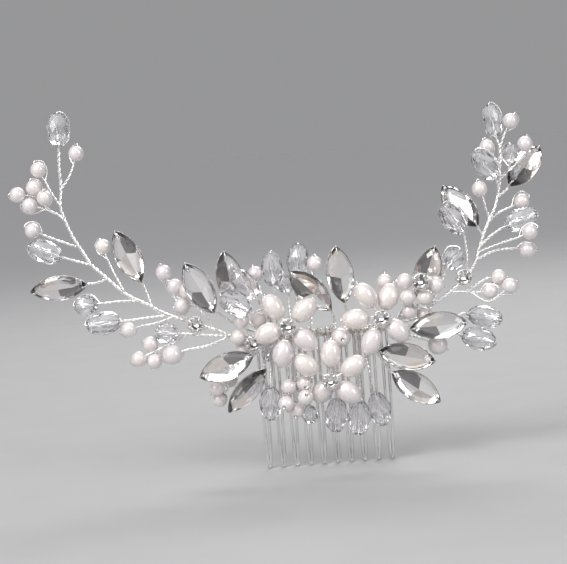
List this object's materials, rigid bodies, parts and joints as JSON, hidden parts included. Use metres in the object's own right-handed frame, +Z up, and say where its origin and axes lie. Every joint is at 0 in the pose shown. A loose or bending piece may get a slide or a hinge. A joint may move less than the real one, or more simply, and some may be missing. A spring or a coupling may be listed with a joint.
{
  "type": "decorative hair comb",
  "caption": "Wire hair comb that carries a spray of rice-pearl flowers, round pearls, faceted beads and navette stones, with two bendable beaded arms.",
  "frame": {"origin": "middle of the comb's spine, where the tooth row starts", "axes": "+X along the spine, -Z along the teeth (so +Z is up as worn), and the decorated face looks to -Y"},
  "size_m": [0.1417, 0.0198, 0.0993],
  "materials": {
    "comb_wire": "bright silver plate, drawn wire",
    "binding_wire": "bright silver plate, fine wire",
    "twisted_wire": "bright silver plate, two strands twisted",
    "setting": "bright silver plate",
    "pearl": "pearl lustre, white",
    "rice_pearl": "satin pearl lustre, warm white",
    "bead_crystal": "clear faceted crystal",
    "navette_crystal": "clear faceted crystal, foiled back",
    "rhinestone": "clear faceted crystal, foiled back"
  },
  "bodies": {
    "comb": {"comb_teeth": "comb_wire", "spine_rod": "comb_wire", "spine_binding": "binding_wire", "center_stems": "twisted_wire", "left_flower_petals": "rice_pearl", "right_flower_petals": "rice_pearl", "lower_flower_petals": "rice_pearl", "left_blossom_pearls": "pearl", "right_blossom_pearls": "pearl", "flower_cups": "setting", "flower_rhinestones": "rhinestone", "upper_left_settings": "setting", "upper_left_navettes": "navette_crystal", "lower_left_settings": "setting", "lower_left_navettes": "navette_crystal", "top_settings": "setting", "top_navettes": "navette_crystal", "right_settings": "setting", "right_navettes": "navette_crystal", "upper_pearls": "pearl", "side_pearls": "pearl", "lower_pearls": "pearl"},
    "left_arm": {"left_stem": "twisted_wire", "left_pearls": "pearl", "left_settings": "setting", "left_navettes": "navette_crystal", "left_chaton_cup": "setting", "left_chaton": "rhinestone"},
    "right_arm": {"right_stem": "twisted_wire", "right_pearls": "pearl", "right_arm_settings": "setting", "right_arm_navettes": "navette_crystal", "right_chaton_cup": "setting", "right_chaton": "rhinestone"},
    "left_tip_bead": {"left_tip_bead": "bead_crystal"},
    "left_outer_bead": {"left_outer_bead": "bead_crystal"},
    "left_lower_bead": {"left_lower_bead": "bead_crystal"},
    "left_round_bead": {"left_round_bead": "bead_crystal"},
    "left_inner_bead": {"left_inner_bead": "bead_crystal"},
    "right_top_bead": {"right_top_bead": "bead_crystal"},
    "right_upper_bead": {"right_upper_bead": "bead_crystal"},
    "right_small_bead": {"right_small_bead": "bead_crystal"},
    "right_outer_bead": {"right_outer_bead": "bead_crystal"},
    "right_inner_bead": {"right_inner_bead": "bead_crystal"},
    "right_round_bead": {"right_round_bead": "bead_crystal"},
    "top_bead_1": {"top_bead_1": "bead_crystal"},
    "top_bead_2": {"top_bead_2": "bead_crystal"},
    "top_bead_3": {"top_bead_3": "bead_crystal"},
    "top_bead_4": {"top_bead_4": "bead_crystal"},
    "top_crystal": {"top_crystal": "bead_crystal"},
    "side_bead_1": {"side_bead_1": "bead_crystal"},
    "side_bead_2": {"side_bead_2": "bead_crystal"},
    "back_crystal": {"back_crystal": "bead_crystal"},
    "drop_bead_1": {"drop_bead_1": "bead_crystal"},
    "drop_bead_2": {"drop_bead_2": "bead_crystal"},
    "drop_bead_3": {"drop_bead_3": "bead_crystal"},
    "drop_bead_4": {"drop_bead_4": "bead_crystal"},
    "drop_crystal": {"drop_crystal": "bead_crystal"}
  },
  "joints": [
    {"name": "left_arm_bend", "type": "hinge", "parent": "comb", "child": "left_arm", "pos_m": [-0.024, -0.003, 0.0015], "axis": [0, 0, -1], "range_deg": [0, 35]},
    {"name": "right_arm_bend", "type": "hinge", "parent": "comb", "child": "right_arm", "pos_m": [0.029, -0.003, 0.0055], "axis": [0, 0, 1], "range_deg": [0, 35]},
    {"name": "left_tip_bead_spin", "type": "hinge", "parent": "left_arm", "child": "left_tip_bead", "pos_m": [-0.065, 0.001, 0.059], "axis": [0.04, 0, 0.9992], "continuous": true},
    {"name": "left_outer_bead_spin", "type": "hinge", "parent": "left_arm", "child": "left_outer_bead", "pos_m": [-0.0707, -0.0022, 0.0276], "axis": [-0.9116, -0.0372, 0.4093], "continuous": true},
    {"name": "left_lower_bead_spin", "type": "hinge", "parent": "left_arm", "child": "left_lower_bead", "pos_m": [-0.057, -0.0038, 0.0075], "axis": [-0.9985, 0, -0.0555], "continuous": true},
    {"name": "left_round_bead_spin", "type": "hinge", "parent": "left_arm", "child": "left_round_bead", "pos_m": [-0.0612, -0.003, 0.0127], "axis": [-0.9919, 0.1181, -0.0472], "continuous": true},
    {"name": "left_inner_bead_spin", "type": "hinge", "parent": "left_arm", "child": "left_inner_bead", "pos_m": [-0.0407, -0.0036, 0.0037], "axis": [-0.9924, -0.0242, 0.121], "continuous": true},
    {"name": "right_top_bead_spin", "type": "hinge", "parent": "right_arm", "child": "right_top_bead", "pos_m": [0.0492, 0.0013, 0.0524], "axis": [-0.1384, 0.0593, 0.9886], "continuous": true},
    {"name": "right_upper_bead_spin", "type": "hinge", "parent": "right_arm", "child": "right_upper_bead", "pos_m": [0.0461, -0.0022, 0.0411], "axis": [-0.5371, -0.1297, 0.8335], "continuous": true},
    {"name": "right_small_bead_spin", "type": "hinge", "parent": "right_arm", "child": "right_small_bead", "pos_m": [0.0529, -0.0016, 0.0436], "axis": [0.1045, -0.0523, 0.9931], "continuous": true},
    {"name": "right_outer_bead_spin", "type": "hinge", "parent": "right_arm", "child": "right_outer_bead", "pos_m": [0.0548, -0.0008, 0.026], "axis": [0.941, 0.0697, 0.3311], "continuous": true},
    {"name": "right_inner_bead_spin", "type": "hinge", "parent": "right_arm", "child": "right_inner_bead", "pos_m": [0.0362, -0.0062, 0.0279], "axis": [-0.5088, -0.109, 0.854], "continuous": true},
    {"name": "right_round_bead_spin", "type": "hinge", "parent": "right_arm", "child": "right_round_bead", "pos_m": [0.0361, -0.003, 0.0172], "axis": [0.6108, 0, 0.7918], "continuous": true},
    {"name": "top_bead_1_spin", "type": "hinge", "parent": "comb", "child": "top_bead_1", "pos_m": [-0.019, -0.0055, 0.015], "axis": [-0.544, -0.0907, 0.8342], "continuous": true},
    {"name": "top_bead_2_spin", "type": "hinge", "parent": "comb", "child": "top_bead_2", "pos_m": [-0.0219, -0.0091, 0.0105], "axis": [-0.8055, -0.1007, 0.584], "continuous": true},
    {"name": "top_bead_3_spin", "type": "hinge", "parent": "comb", "child": "top_bead_3", "pos_m": [-0.0117, -0.005, 0.0184], "axis": [-0.0185, 0, 0.9998], "continuous": true},
    {"name": "top_bead_4_spin", "type": "hinge", "parent": "comb", "child": "top_bead_4", "pos_m": [-0.0048, 0.0004, 0.0197], "axis": [0.1259, 0.072, 0.9894], "continuous": true},
    {"name": "top_crystal_spin", "type": "hinge", "parent": "comb", "child": "top_crystal", "pos_m": [-0.0086, -0.001, 0.0139], "axis": [-0.2346, 0, 0.9721], "continuous": true},
    {"name": "side_bead_1_spin", "type": "hinge", "parent": "comb", "child": "side_bead_1", "pos_m": [0.0431, -0.0045, 0.0014], "axis": [0.9646, 0.0175, -0.2631], "continuous": true},
    {"name": "side_bead_2_spin", "type": "hinge", "parent": "comb", "child": "side_bead_2", "pos_m": [0.0407, -0.0077, -0.0038], "axis": [0.9493, -0.1406, -0.2813], "continuous": true},
    {"name": "back_crystal_spin", "type": "hinge", "parent": "comb", "child": "back_crystal", "pos_m": [-0.014, -0.0056, -0.0034], "axis": [-0.3015, -0.7839, -0.5427], "continuous": true},
    {"name": "drop_bead_1_spin", "type": "hinge", "parent": "comb", "child": "drop_bead_1", "pos_m": [-0.0148, -0.005, -0.0169], "axis": [-0.0545, 0, -0.9985], "continuous": true},
    {"name": "drop_bead_2_spin", "type": "hinge", "parent": "comb", "child": "drop_bead_2", "pos_m": [0.0022, -0.0043, -0.0215], "axis": [-0.1439, 0, -0.9896], "continuous": true},
    {"name": "drop_bead_3_spin", "type": "hinge", "parent": "comb", "child": "drop_bead_3", "pos_m": [0.0081, -0.0067, -0.0223], "axis": [-0.1262, -0.018, -0.9918], "continuous": true},
    {"name": "drop_bead_4_spin", "type": "hinge", "parent": "comb", "child": "drop_bead_4", "pos_m": [0.0137, -0.0039, -0.0209], "axis": [0.1996, 0, -0.9799], "continuous": true},
    {"name": "drop_crystal_spin", "type": "hinge", "parent": "comb", "child": "drop_crystal", "pos_m": [-0.0048, -0.0032, -0.0209], "axis": [0.2499, 0, -0.9683], "continuous": true}
  ]
}
